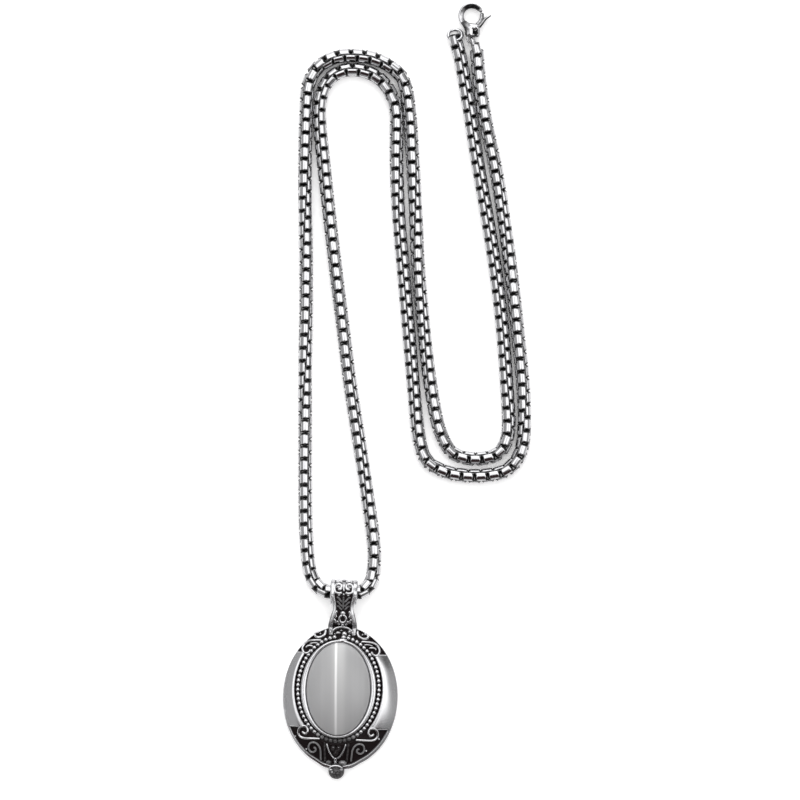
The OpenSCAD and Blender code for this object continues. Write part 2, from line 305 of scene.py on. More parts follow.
# Painted dark reflection: the front's outer edge is darkened on the lower right, half as dark as the
# blackening
painted_dark_rim = 0.5 * ramp(circle[:, 0], 0.1, 0.1) * ramp(-circle[:, 1], 0.42, 0.1)
for inset, z in ((1.2, 0.0), (0.35, 0.0), (0.08, 0.08), (0.0, 0.3), (0.0, edge_z - 0.25),
                 (0.03, edge_z - 0.12)):
    rings.append(with_foot(oval(0, BODY - inset, z)))
    ring_oxide_and_shade.append(np.zeros(AROUND))
for t in (0.015, 0.04, 0.07, 0.1, 0.13, 0.16, 0.19, *np.linspace(0.22, 0.97, 32)):
    ring = with_foot(oval(SETTING_AT * t, BODY + (BORDER - BODY) * t), 1 - t)
    sunk = ground(ring[:, 1]) * ramp(t, np.where(ring[:, 1] > 0, TOP_RIM, FOOT_RIM), 0.06)
    ring[:, 2] = front_rise(t, front_width) - RECESS_D * sunk
    rings.append(ring)
    ring_oxide_and_shade.append(np.maximum(sunk, painted_dark_rim * (t < FOOT_RIM)))
for inset, rise, dark in ((0.0, 0.0, 0), (0.12, 0.04, 0), (0.24, 0.03, 0), (0.33, -0.08, 0.3),
                          (0.39, -0.3, 1), (0.44, -0.75, 1)):
    ring = oval(SETTING_AT, BORDER - inset)
    sunk = ground(ring[:, 1])
    ring[:, 2] = np.maximum(DOME_H + rise - 0.62 * sunk, CHANNEL_Z)
    rings.append(ring)
    ring_oxide_and_shade.append(np.maximum(sunk, dark))
rings.append(oval(SETTING_AT, BEZEL - 0.1, CHANNEL_Z))
ring_oxide_and_shade.append(np.ones(AROUND))
points, faces = capped(np.array(rings))
oxide_and_shade = np.concatenate([np.concatenate(ring_oxide_and_shade), [0, 1]])
body = piece("pendant_body", in_place(points), faces, cast_steel, oxide_and_shade=oxide_and_shade)
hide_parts("pendant")


# Bezel: the plain rim that holds the stone, burnished over its girdle, with a painted dark
# reflection on its lowest part.
bezel_shape = [(0.0, CHANNEL_Z - 0.1), (0.0, 3.9), (0.03, 4.12), (0.09, 4.27), (0.17, 4.35), (0.35, 4.4),
               (0.6, 4.39), (0.8, 4.33), (0.92, 4.24), (1.0, 4.0), (0.9, CHANNEL_Z - 0.1)]
rings = np.array([oval(SETTING_AT, BEZEL + (STONE - BEZEL) * t, z) for t, z in bezel_shape])
faces = sheet_faces(len(rings), AROUND, closed_rows=True)
bezel_black_and_shade = np.array([0.9, 0.5, 0.1, 0, 0, 0, 0, 0, 0.2, 1, 1])[:, None]
# Painted dark reflection on the bezel's lowest part, on top of the blackening at its foot
bezel_black_and_shade = bezel_black_and_shade + 0.42 * ramp(-circle[:, 1], 0.82, 0.1)
piece("bezel", in_place(rings.reshape(-1, 3)), faces, cast_steel,
      oxide_and_shade=bezel_black_and_shade.ravel())


# Bead row: low round grains cast in the channel, about 1 mm apart. The lowest ones are darkened,
# a painted dark reflection.
BEAD_PITCH = 1.06
BEAD_R = 0.52


def ball(rows=6, columns=10):
    """Unit sphere: rings at equal angles of latitude, with a point at each pole."""
    lat = np.linspace(-np.pi / 2, np.pi / 2, rows + 1)[1:-1]
    lon = np.arange(columns) * 2 * np.pi / columns
    ring = np.stack(np.broadcast_arrays(
        np.cos(lat)[:, None] * np.cos(lon), np.cos(lat)[:, None] * np.sin(lon),
        np.sin(lat)[:, None]), -1)
    points, faces = capped(ring)
    points[-2], points[-1] = (0, 0, -1), (0, 0, 1)
    return points, faces


bead_row = BEZEL + CHANNEL_W / 2
dense = np.linspace(0, 2 * np.pi, 2001)
row = SETTING_AT + np.stack([np.cos(dense), np.sin(dense)], -1) * bead_row
run = np.concatenate([[0], np.cumsum(np.hypot(*np.diff(row, axis=0).T))])
beads = int(round(run[-1] / BEAD_PITCH))
at = np.interp(np.arange(beads) * run[-1] / beads, run, dense)
bead_points, bead_faces = ball()
parts = []
for angle in at:
    x, y = SETTING_AT + np.array([np.cos(angle), np.sin(angle)]) * bead_row
    if abs(x - 0.1) < 1.2 and y > 0:  # the knob under the neck stands here
        continue
    # Painted dark reflection on the lowest beads
    low = np.clip((-6.5 - y) / 3, 0, 1)
    parts.append((bead_points * (BEAD_R, BEAD_R, 0.3) + (x, y, CHANNEL_Z + 0.45), bead_faces, 0.68 * low))
points, faces, oxide_and_shade = joined(parts)
piece("bead_row", in_place(points), faces, cast_steel, oxide_and_shade=oxide_and_shade)


# Scrollwork: flat-topped strapwork cast with the body, standing up from the blackened ground to the
# height of the crescents. Each scroll is drawn for the left side and mirrored.
def curve(points, spacing=0.12):
    """Catmull-Rom curve through the points, resampled at an even spacing along its length.

    The first two or three numbers of a point are its place, and any further ones ride along.
    """
    p = np.asarray(points, float)
    p = np.concatenate([[2 * p[0] - p[1]], p, [2 * p[-1] - p[-2]]])
    t = np.linspace(0, 1, 24, endpoint=False)[:, None]
    pieces = []
    for a, b, c, d in zip(p, p[1:], p[2:], p[3:]):
        pieces.append(0.5 * (2 * b + (c - a) * t + (2 * a - 5 * b + 4 * c - d) * t ** 2
                             + (3 * b - a - 3 * c + d) * t ** 3))
    fine = np.concatenate(pieces + [p[-2:-1]])
    run = np.concatenate([[0], np.cumsum(np.linalg.norm(np.diff(fine[:, :3], axis=0), axis=1))])
    count = max(int(round(run[-1] / spacing)), 3)
    even = np.linspace(0, run[-1], count + 1)
    return np.stack([np.interp(even, run, fine[:, k]) for k in range(p.shape[1])], -1)


def strap(path, width, height, sides=12, taper=0.3, surface=front_z, lift=0.0, lean=0.0):
    """Carries an upright rounded box along a flat path, on the surface below it, with round ends.

    Its section is x = w cos a |cos a|^-0.4 and z = h sin a |sin a|^-0.5, plus the lean times x. Near
    the path's ends its size shrinks as sqrt(1 - (1 - s)^2), with s the share of the taper's length.
    A third number in a path's point is the width there.
    """
    line = curve(path)
    xy = line[:, :2]
    width = line[:, 2:3] if line.shape[1] > 2 else width
    step = np.gradient(xy, axis=0)
    step /= np.linalg.norm(step, axis=1, keepdims=True)
    side = np.stack([step[:, 1], -step[:, 0]], -1)
    run = np.concatenate([[0], np.cumsum(np.linalg.norm(np.diff(xy, axis=0), axis=1))])
    near_end = np.clip(np.minimum(run, run[-1] - run) / taper + 0.02, 0, 1)
    size = np.sqrt(1 - (1 - near_end) ** 2)[:, None]
    angle = (np.arange(sides) + 0.5) * 2 * np.pi / sides
    out = width / 2 * size * np.sign(np.cos(angle)) * np.abs(np.cos(angle)) ** 0.6
    up = height / 2 * size * np.sign(np.sin(angle)) * np.abs(np.sin(angle)) ** 0.5
    z = (surface(xy[:, 0], xy[:, 1]) + lift)[:, None] + up + lean * out
    rings = np.stack([xy[:, :1] + side[:, :1] * out, xy[:, 1:] + side[:, 1:] * out, z], -1)
    return capped(rings, flip=True)


def knob(x, y, size, height, surface=front_z, lift=0.0):
    """Low round grain: a sphere stretched to size by height."""
    points, faces = ball(8, 14)
    z = float(surface(np.array(x), np.array(y))) + lift
    return points * (size[0] / 2, size[1] / 2, height / 2) + (x, y, z), faces


# Each scroll: the mirror's place, width, blackening, and its path on the left side
SCROLLS = [
    # hook and stem beside the neck
    (-0.27, 0.58, 0.0, [(-3.9, 15.6), (-3.9, 15.0), (-4.2, 14.3), (-4.9, 13.8), (-5.6, 13.65), (-6.2, 13.85),
                        (-6.4, 14.35), (-6.0, 14.75), (-5.4, 14.75)]),
    (-0.27, 0.46, 0.0, [(-2.85, 15.8), (-2.8, 15.3), (-2.75, 14.6)]),
    # outer volute, its inner curl, and the line below its leaf
    (-0.25, 0.52, 0.0, [(-4.7, 13.0), (-6.5, 12.95), (-7.9, 12.65), (-8.7, 12.0), (-9.1, 11.1), (-8.9, 10.3),
                        (-8.3, 9.9), (-7.6, 10.2), (-7.2, 10.9)]),
    (-0.25, 0.46, 0.0, [(-6.6, 11.55), (-7.3, 11.7), (-8.0, 11.55), (-8.35, 11.1)]),
    (-0.25, 0.32, 0.2, [(-5.4, 12.3), (-6.5, 12.35), (-7.6, 12.1)]),
    # volute under the crescent
    (-0.20, 0.54, 0.0, [(-4.2, -9.6), (-6.1, -9.6), (-7.8, -9.6), (-8.7, -9.35), (-9.25, -8.7), (-9.3, -7.9),
                        (-8.9, -7.1), (-8.1, -6.75), (-7.4, -7.1), (-7.15, -7.9), (-7.6, -8.5), (-8.2, -8.35),
                        (-8.3, -7.9)]),
    # spiral, stem and lyre at the foot
    (-0.45, 0.42, 0.55, [(-3.9, -14.7), (-4.0, -13.3), (-4.15, -12.0), (-4.7, -11.0), (-5.6, -10.5),
                         (-6.5, -10.75), (-6.85, -11.6), (-6.6, -12.45), (-5.9, -12.8), (-5.2, -12.4),
                         (-5.3, -11.8), (-5.8, -11.75)]),
    (-0.45, 0.50, 0.76, [(-3.2, -10.4), (-3.1, -12.3), (-2.9, -14.9)]),
    (-0.50, 0.42, 0.22, [(-2.7, -10.5), (-2.55, -11.2), (-2.2, -12.2), (-1.7, -13.1), (-1.15, -13.8),
                         (-0.7, -14.1)]),
]
ledge = lambda x, y: 3.45 + 0 * x
parts = []
for mirror, width, black_and_shade, path in SCROLLS:
    for hand in (1, -1):
        xy = np.array(path)
        if hand < 0:
            xy = np.stack([2 * mirror - xy[:, 0], xy[:, 1]], -1)
        parts.append((*strap(xy, width, 1.1, lift=-0.4), black_and_shade))
# Palmette under the neck, and the drop between the lyre's ends
parts.append((*strap([(-2.3, 15.1), (-2.05, 15.6), (-1.3, 16.05), (-0.15, 16.25), (1.1, 16.05), (1.8, 15.6),
                      (2.0, 15.1)], 0.58, 1.0, surface=ledge), 0.0))
parts.append((*strap([(-0.6, -13.8), (-0.55, -14.7), (-0.5, -15.6)], 0.62, 1.2, lift=-0.25), 0.0))
for x, y, size, black_and_shade in (
        (-1.05, 14.9, (1.3, 0.8), 0.0), (0.4, 14.7, (1.3, 1.3), 0.0), (1.7, 15.25, (1.2, 1.0), 0.0),
        (-0.35, 15.45, (0.7, 0.45), 0.3), (-1.8, 14.6, (0.5, 0.5), 0.2), (1.5, 14.3, (0.8, 0.6), 0.25),
        (0.25, 13.9, (1.3, 1.0), 0.0)):
    parts.append((*knob(x, y, size, 0.8, surface=ledge), black_and_shade))
parts.append((*knob(0.0, 13.15, (2.3, 1.1), 1.0, surface=ledge, lift=0.5), 0.0))
for x, y, size, black_and_shade in (
        (-7.3, -12.1, (0.55, 0.55), 0.3), (6.4, -12.0, (0.6, 0.6), 0.0), (-9.95, -9.3, (0.5, 0.5), 0.3),
        (9.2, -9.2, (0.55, 0.55), 0.0), (-5.1, 14.5, (0.5, 0.5), 0.1), (4.55, 14.6, (0.5, 0.5), 0.1),
        (-1.15, -11.7, (1.2, 1.5), 0.8), (0.1, -11.7, (1.2, 1.5), 0.8), (-0.52, -12.6, (1.3, 1.7), 0.8),
        (1.1, -15.0, (1.9, 1.1), 0.55), (-2.1, -15.0, (1.3, 0.9), 0.65)):
    parts.append((*knob(x, y, size, 1.0, lift=-0.25), black_and_shade))
for x in (-1.15, 0.05):
    parts.append((*knob(x, -11.4, (0.55, 0.4), 1.5, lift=-0.25), 0.05))
points, faces, oxide_and_shade = joined(parts)
piece("scrollwork", in_place(points), faces, cast_steel, oxide_and_shade=oxide_and_shade)


# Finial: the ball at the pendant's foot, blackened, with a bright collar where it leaves the body.
FINIAL_AT = (-0.25, -17.0)
FINIAL_R = 1.85
points, faces = ball(24, 40)
parts = [(points * FINIAL_R + (*FINIAL_AT, FINIAL_R), faces, 0.72)]
collar = [(-1.9, -16.35), (-1.5, -15.95), (-0.9, -15.75), (-0.2, -15.7), (0.5, -15.85), (1.1, -16.2)]
above = lambda x, y: 3.3 + 0 * x
parts.append((*strap(collar, 0.5, 0.8, surface=above), 0.0))
for x, y, size, black_and_shade in ((-1.5, -16.6, (0.9, 0.45), 0.0), (-1.2, -17.1, (0.45, 0.45), 0.1),
                          (0.85, -16.5, (0.8, 0.5), 0.45)):
    parts.append((*knob(x, y, size, 0.6, surface=above, lift=0.25), black_and_shade))
points, faces, oxide_and_shade = joined(parts)
piece("finial", in_place(points), faces, cast_steel, oxide_and_shade=oxide_and_shade)


# Bail: the roll that the chain runs through, and the strap-like neck that joins it to the body.
# Both have bright side rims and a blackened middle with small cast ornaments.
ROLL_AT = (-0.1, 24.2)
ROLL_R, HOLE_R, ROLL_W = 3.0, 2.05, 6.2
half_across = np.array([0.35, 0.63, 0.66, 0.69, 0.72, 0.75, 0.79, 0.89, 0.95, 0.98, 1])
half_rise = np.array([-0.38, -0.4, -0.24, -0.08, -0.01, 0, -0.02, -0.07, -0.11, -0.2, -0.4])
half_oxide = np.array([1, 1, 0.7, 0.1, 0, 0, 0, 0, 0, 0.3, 0.5])
across = np.concatenate([-half_across[::-1], [0], half_across])
rim_rise = np.concatenate([half_rise[::-1], [-0.37], half_rise])
rim_oxide = np.concatenate([half_oxide[::-1], [1], half_oxide])
turn = np.arange(72) * 2 * np.pi / 72


def roll_point(x, r, a):
    """Point on a circle about the roll's axis, which lies across the pendant."""
    return np.stack(np.broadcast_arrays(x, ROLL_AT[1] + r * np.sin(a), ROLL_R + r * np.cos(a)), -1)


stations = [(ROLL_AT[0] + u * ROLL_W / 2, ROLL_R + rise) for u, rise in zip(across, rim_rise)]
inside = [(ROLL_AT[0] + ROLL_W / 2, HOLE_R + 0.1), (ROLL_AT[0] + ROLL_W / 2 - 0.15, HOLE_R),
          (ROLL_AT[0] - ROLL_W / 2 + 0.15, HOLE_R), (ROLL_AT[0] - ROLL_W / 2, HOLE_R + 0.1)]
roll = np.array([roll_point(x, r, turn) for x, r in stations + inside])
faces = sheet_faces(len(roll), len(turn), closed_rows=True)
# The roll's far part is lighter, and the neck's foot darker
lighter_far_part = 1 - 0.6 * ramp(roll[..., 1], 25.0, 0.5)
roll_black = np.concatenate([rim_oxide, [0.2, 0.9, 0.9, 0.2]])[:, None] * lighter_far_part
parts = [(roll.reshape(-1, 3), faces[:, ::-1], roll_black.ravel())]

# Neck: along y, its half width and its front's height; the lowest part is the palmette's ledge
neck_table = np.array([
    [14.3, 3.15, 3.3], [15.3, 3.2, 3.35], [16.2, 3.3, 3.35], [16.55, 3.3, 3.8], [16.8, 3.25, 4.7],
    [17.1, 3.2, 5.08], [17.8, 3.02, 5.26], [19.0, 2.72, 5.44], [20.2, 2.38, 5.57], [21.2, 2.42, 5.67],
    [22.0, 2.62, 5.76], [22.7, 2.87, 5.84], [23.4, 3.08, 5.92], [24.1, 3.1, 5.99]])
neck_line = curve(neck_table, 0.2)


def neck_front(x, y):
    """Height of the bail's blackened middle, on the neck and then over the roll."""
    on_roll = ROLL_R + np.sqrt(np.maximum(ROLL_R ** 2 - (y - ROLL_AT[1]) ** 2, 0.01))
    on_neck = np.interp(y, neck_line[:, 0], neck_line[:, 2])
    return np.where(y > neck_table[-1, 0], on_roll, on_neck) - 0.36 + 0 * x


y, half, top = neck_line.T
front = np.stack([ROLL_AT[0] + half[:, None] * across, y[:, None] + 0 * across, top[:, None] + rim_rise], -1)
under = np.array([1.0, 0.6, -0.6, -1.0])
back = np.stack([ROLL_AT[0] + half[:, None] * under, y[:, None] + 0 * under,
                 1.0 + 0 * y[:, None] + np.array([0.15, 0, 0, 0.15])], -1)
points, faces = capped(np.concatenate([front, back], 1))
neck_black = np.concatenate([rim_oxide, np.full(4, 0.2)]) + 0.4 * ramp(-y, -20.2, 1.0)[:, None]
parts.append((points, faces, np.concatenate([neck_black.ravel(), [1, 1]])))

BAIL_STRAPS = [
    # width, blackening, path on the right side: the roll's volute, its inner leaf and its base line
    (0.60, 0.0, [(0.35, 24.25), (1.0, 24.0), (1.75, 24.2), (2.1, 24.9), (1.95, 25.7), (1.35, 26.15),
                 (0.75, 25.95), (0.55, 25.35), (0.95, 24.95), (1.4, 25.15)]),
    (0.50, 0.0, [(0.35, 26.6), (1.1, 26.75), (1.9, 26.55)]),
    # the middle's leaves, still black
    (0.42, 0.64, [(0.15, 21.0), (0.65, 21.35), (1.1, 21.9), (1.55, 22.15)]),
    (0.42, 0.62, [(0.15, 22.0), (0.65, 22.35), (1.1, 22.9), (1.6, 23.15)]),
    (0.40, 0.66, [(0.2, 20.2), (0.6, 20.5), (1.0, 20.95), (1.5, 21.15)]),
    # the neck's outer leaves
    (0.62, 0.0, [(1.35, 20.05), (1.65, 19.5), (1.7, 18.9), (1.45, 18.35)]),
    (0.44, 0.2, [(2.0, 18.2), (1.7, 17.7), (1.6, 17.1)]),
    (0.50, 0.1, [(0.5, 16.75), (1.05, 17.15), (1.25, 17.75)]),
]
for width, black_and_shade, path in BAIL_STRAPS:
    for hand in (1, -1):
        xy = np.array(path) * (hand, 1) + (ROLL_AT[0], 0)
        parts.append((*strap(xy, width, 0.7, surface=neck_front, lift=0.12, taper=0.2), black_and_shade))
for width, black_and_shade, path in (
        (0.52, 0.0, [(0.78 * np.cos(a) - 0.1, 18.15 + 0.85 * np.sin(a)) for a in np.linspace(1.7, 7.95, 14)]),
        (0.46, 0.0, [(-0.1, 24.5), (-0.1, 25.3), (-0.1, 26.3)]),
        (0.40, 0.66, [(-0.1, 20.4), (-0.1, 21.8), (-0.1, 23.3)])):
    parts.append((*strap(path, width, 0.7, surface=neck_front, lift=0.12, taper=0.2), black_and_shade))
parts.append((*strap([(-2.2, 26.85), (-1.2, 26.95), (0.0, 27.0), (1.0, 26.95), (2.0, 26.85)], 0.45, 0.8,
                     surface=lambda x, y: 3.6 + 0 * x), 0.3))
for x, y0, size in ((-0.1, 19.5, (1.3, 1.0)), (-0.1, 16.8, (0.8, 0.8)), (0.95, 23.65, (0.7, 0.6)),
                    (-1.15, 23.65, (0.7, 0.6)), (-0.1, 23.8, (0.6, 0.6))):
    parts.append((*knob(x, y0, size, 0.7, surface=neck_front, lift=0.12), 0.0))
points, faces, oxide_and_shade = joined(parts)
piece("bail", in_place(points), faces, cast_steel, oxide_and_shade=oxide_and_shade)


# Cabochon: fibre-optic cat's-eye glass, ground to a dome and polished. Its parallel fibres gather
# the light into one soft white line across them. Here the line and a broader glow beside it are a
# painted highlight in the glass's colour, drawn where the photograph has them, fading towards the
# foot, and they stay there in any light.
STONE_TOP, GIRDLE_Z, STONE_BASE = 6.98, 4.3, 3.5
dome = np.linspace(0, 88, 26)
rings = [oval(SETTING_AT, STONE - 0.02, STONE_BASE)]
rings += [oval(SETTING_AT, (STONE - 0.02) * np.cos(np.radians(a)),
               GIRDLE_Z + (STONE_TOP - GIRDLE_Z) * np.sin(np.radians(a))) for a in dome]
points, faces = capped(np.array(rings))
LINE_X, LINE_SWAY = -16.12 * MM, 0.1 * MM
LINE_FROM, LINE_TO = -70 * MM, -58 * MM
LINE_CORE, LINE_HALF = 0.02 * MM, 0.48 * MM
GLOW_OFF, GLOW_HALF = 0.7 * MM, 2.6 * MM
STONE_FOOT = -79 * MM
glass = bpy.data.materials.new("cats_eye_glass")
glass.use_nodes = True
tree = glass.node_tree
tree.nodes.clear()
place = add(tree, "ShaderNodeTexCoord").outputs["Object"]
spot = add(tree, "ShaderNodeSeparateXYZ", {0: place})
sway = add(tree, "ShaderNodeMapRange", {
    "Value": spot.outputs["Y"], "From Min": LINE_FROM, "From Max": LINE_TO,
    "To Min": LINE_X, "To Max": LINE_X + LINE_SWAY}).outputs[0]
off = add(tree, "ShaderNodeMath", {0: spot.outputs["X"], 1: sway}, operation="SUBTRACT").outputs[0]
away = add(tree, "ShaderNodeMath", {0: off}, operation="ABSOLUTE").outputs[0]
line = add(tree, "ShaderNodeMapRange", {
    "Value": away, "From Min": LINE_CORE, "From Max": LINE_HALF, "To Min": 1.0, "To Max": 0.0},
    interpolation_type="SMOOTHERSTEP").outputs[0]
right = add(tree, "ShaderNodeMath", {0: off, 1: GLOW_OFF}, operation="SUBTRACT").outputs[0]
right = add(tree, "ShaderNodeMath", {0: right}, operation="ABSOLUTE").outputs[0]
glow = add(tree, "ShaderNodeMapRange", {
    "Value": right, "From Min": 0.0, "From Max": GLOW_HALF, "To Min": 1.0, "To Max": 0.0},
    interpolation_type="SMOOTHERSTEP").outputs[0]
# The painted highlight fades from full strength at the top to about a third at the foot
painted_light_to_top = add(tree, "ShaderNodeMapRange", {
    "Value": spot.outputs["Y"], "From Min": STONE_FOOT, "From Max": LINE_TO, "To Min": 0.35,
    "To Max": 1.0}).outputs[0]
glow = add(tree, "ShaderNodeMath", {0: glow, 1: painted_light_to_top}, operation="MULTIPLY").outputs[0]
line = add(tree, "ShaderNodeMath", {0: line, 1: painted_light_to_top}, operation="MULTIPLY").outputs[0]
stretched = add(tree, "ShaderNodeMapping", {"Vector": place, "Scale": (1 / (0.7 * MM), 20.0, 20.0)})
fibres = add(tree, "ShaderNodeTexNoise", {
    "Vector": stretched.outputs[0], "Scale": 1.0, "Detail": 2.0}).outputs["Fac"]
tone = add(tree, "ShaderNodeMix", {"Factor": fibres, 6: colour("#a0a0a1"), 7: colour("#a9a9aa")},
           data_type="RGBA").outputs[2]
for share, code in ((glow, "#c0c0c0"), (line, "#fafafa")):
    tone = add(tree, "ShaderNodeMix", {"Factor": share, 6: tone, 7: colour(code)},
               data_type="RGBA").outputs[2]
surface = add(tree, "ShaderNodeBsdfPrincipled", {"Base Color": tone, "Roughness": 0.28, "IOR": 1.52})
add(tree, "ShaderNodeOutputMaterial", {"Surface": surface.outputs[0]})
stone = piece("cats_eye_cabochon", in_place(points), faces, glass)
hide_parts("cabochon")


# Chain: a rounded box chain. Each link is a short square ring of flat band, bent so that its two
# walls follow the chain's round outline, and each is turned a quarter against the last and passes
# through it. Polished outside; the links' ends, edges and insides are darkened in colour, a painted
# shade of the gaps where the links meet and pass through each other.
# Heights of the chain's line: on the ground, rising to the bail, through the bail, and at both ends
LIE, CLIMB, LIFT, END_RISE = 1.64, 2.0, 2.7, 1.9
# The route, and how far the chain has twisted about its own line there, in degrees
ROUTE = [
    # right leg of the inner strand, down from the plain ring
    (11.36, 81.2, END_RISE, 35), (11.7, 79.8, END_RISE, 35), (12.6, 76.2, LIE, 38),
    (14.4, 65.9, LIE, 42), (16.4, 53.2, LIE, 42), (18.6, 40.6, LIE, 42), (20.6, 27.9, LIE, 42),
    (22.1, 15.3, LIE, 42), (23.1, 2.6, LIE, 40), (23.6, -7.5, LIE, 20),
    # inner U
    (22.7, -12.1, LIE, 0), (20.6, -14.5, LIE, -8), (17.2, -15.4, LIE, -10), (13.6, -15.2, LIE, -10),
    (10.6, -13.9, LIE, -6), (8.6, -10.9, LIE, -2),
    # middle leg, up to the outer arch
    (7.0, -6.1, LIE, 7), (5.3, 3.8, LIE, 27), (3.9, 16.4, LIE, 55), (2.8, 29.1, LIE, 86),
    (2.2, 41.7, LIE, 131), (1.5, 54.4, LIE, 172), (0.8, 64.7, LIE, 180),
    # outer arch
    (-0.5, 71.2, LIE, 192), (-3.1, 74.3, LIE, 218), (-7.0, 76.4, LIE, 233), (-11.4, 77.2, LIE, 233),
    (-15.9, 76.9, LIE, 226), (-19.8, 74.9, LIE, 199), (-22.1, 71.6, LIE, 175), (-22.9, 67.0, LIE, 168),
    # left leg, down to the bail
    (-23.2, 55.5, LIE, 183), (-23.2, 42.9, LIE, 218), (-23.0, 30.2, LIE, 261), (-23.0, 17.6, LIE, 278),
    (-23.2, 4.9, LIE, 313), (-23.2, -7.7, LIE, 358), (-23.2, -20.4, LIE, 372), (-23.0, -31.9, LIE, 384),
    (-22.2, -40.6, LIE, 398), (-20.4, -44.5, CLIMB, 402),
    # through the bail
    (-17.8, -46.0, LIFT, 405), (-14.3, -46.1, LIFT, 405), (-10.7, -46.1, LIFT, 407),
    (-8.5, -44.4, CLIMB, 415), (-7.5, -41.3, LIE, 435),
    # left leg of the other strand, up from the bail
    (-7.4, -35.3, LIE, 456), (-8.9, -23.8, LIE, 482), (-10.8, -11.2, LIE, 516), (-12.8, 1.5, LIE, 523),
    (-14.4, 14.1, LIE, 536), (-16.0, 26.8, LIE, 543), (-17.5, 39.4, LIE, 552), (-18.9, 52.1, LIE, 564),
    (-19.9, 62.9, LIE, 578),
    # inner arch
    (-19.3, 68.7, LIE, 582), (-17.1, 72.3, LIE, 578), (-13.7, 73.9, LIE, 577), (-9.9, 73.7, LIE, 576),
    (-6.4, 72.1, LIE, 566), (-3.8, 69.0, LIE, 550), (-2.3, 64.3, LIE, 534),
    # middle leg, down to the outer U
    (-2.2, 53.2, LIE, 551), (-1.7, 40.6, LIE, 583), (-0.6, 27.9, LIE, 588), (0.5, 15.3, LIE, 584),
    (1.6, 2.6, LIE, 587), (2.9, -10.2, LIE, 613),
    # outer U
    (4.8, -15.8, LIE, 626), (8.7, -18.3, LIE, 636), (13.3, -19.3, LIE, 640), (18.4, -19.3, LIE, 640),
    (22.8, -18.2, LIE, 638), (25.8, -15.1, LIE, 640), (27.1, -9.8, LIE, 658),
    # right leg, up to the clasp
    (27.0, 0.3, LIE, 702), (25.8, 13.0, LIE, 713), (24.4, 25.6, LIE, 731), (22.7, 38.3, LIE, 765),
    (20.7, 51.0, LIE, 793), (18.3, 62.4, LIE, 808), (16.9, 71.6, LIE, 814), (16.3, 78.0, LIE, 811),
    (16.05, 79.2, LIE, 811)]
LINK_PITCH, LINK_HALF, STOUTEST = 1.5, 1.52, 1.065
BEVEL, CROWN = 0.36, 0.09
LEG_GAP, SAME_LEG = 0.03, 12


def link_shape():
    """One link about its own middle: a rounded square loop, carried as a crowned and bevelled band.

    Returns points as (along the chain, outward, across the band) and their painted shade, dark at the
    link's ends, edges and inside. Each corner has three stations, and each station has seven points:
    five over the crown, with the outer two drawn in along the loop's own normal, and two inside.
    """
    outer = [(0.80, LINK_HALF), (1.18, 1.48), (1.485, 1.08)]
    inner = [(0.60, 0.90), (0.74, 0.86), (0.78, 0.65)]
    normal = [(0.05, 1.0), (0.3, 0.85), (0.3, 0.5)]
    # Painted shade at each corner's three stations: on the crest, the faces, the bevelled edges and inside
    crest_shade, face_shade = (0, 0.75, 1), (0, 1, 1)
    edge_shade, inner_shade = (0.38, 0.45, 0.55), (0.48, 0.7, 1)
    loop = []
    for sx, sy, order in ((1, 1, (0, 1, 2)), (1, -1, (2, 1, 0)), (-1, -1, (0, 1, 2)), (-1, 1, (2, 1, 0))):
        loop += [(sx, sy, k) for k in order]
    points, black_and_shade = [], []
    for sx, sy, k in loop:
        (t, h), (ti, hi), (nt, nh) = outer[k], inner[k], normal[k]
        for w, drop, dark in ((-0.88, BEVEL, edge_shade), (-0.52, CROWN, face_shade), (0, 0, crest_shade),
                              (0.52, CROWN, face_shade), (0.88, BEVEL, edge_shade)):
            points.append((sx * (t - drop * nt), sy * (h - drop * nh), w))
            black_and_shade.append(dark[k])
        points += [(sx * ti, sy * hi, 0.83), (sx * ti, sy * hi, -0.83)]
        black_and_shade += [inner_shade[k]] * 2
    return np.array(points), np.array(black_and_shade)


def links_along(centres, tangents, twists, turned, stout):
    """Places a link at each centre, turned about the tangent by its twist and its quarter turn.

    Its outward and across sizes are multiplied by how stout it is.
    """
    side = np.cross(tangents, (0, 0, 1))
    side /= np.linalg.norm(side, axis=1, keepdims=True)
    up = np.cross(side, tangents)
    angle = (twists + turned)[:, None]
    outward = np.cos(angle) * up + np.sin(angle) * side
    across_band = np.cross(tangents, outward)
    shape, black_and_shade = link_shape()
    outward, across_band = outward * stout[:, None], across_band * stout[:, None]
    points = (centres[:, None] + shape[None, :, :1] * tangents[:, None]
              + shape[None, :, 1:2] * outward[:, None] + shape[None, :, 2:] * across_band[:, None])
    quads = sheet_faces(12, 7, closed_rows=True)
    faces = quads[None] + np.arange(len(centres))[:, None, None] * len(shape)
    return points.reshape(-1, 3), faces.reshape(-1, 4), np.tile(black_and_shade, len(centres))


polished_steel = antiqued_steel("polished_steel", "#c2c2c4", "#0e0d0d", 0.5)
centreline = curve(ROUTE, 0.25)
run = np.concatenate([[0], np.cumsum(np.linalg.norm(np.diff(centreline[:, :3], axis=0), axis=1))])
count = int(round((run[-1] - 1.0) / LINK_PITCH)) + 1
stops = np.linspace(0.5, run[-1] - 0.5, count)
on_route = lambda s: np.stack([np.interp(s, run, centreline[:, k]) for k in range(4)], -1)
tangents = (on_route(stops + 0.4) - on_route(stops - 0.4))[:, :3]
tangents /= np.linalg.norm(tangents, axis=1, keepdims=True)
twists = np.radians(on_route(stops)[:, 3])
turned = np.arange(count) % 2 * np.pi / 2
centres = on_route(stops)[:, :3]
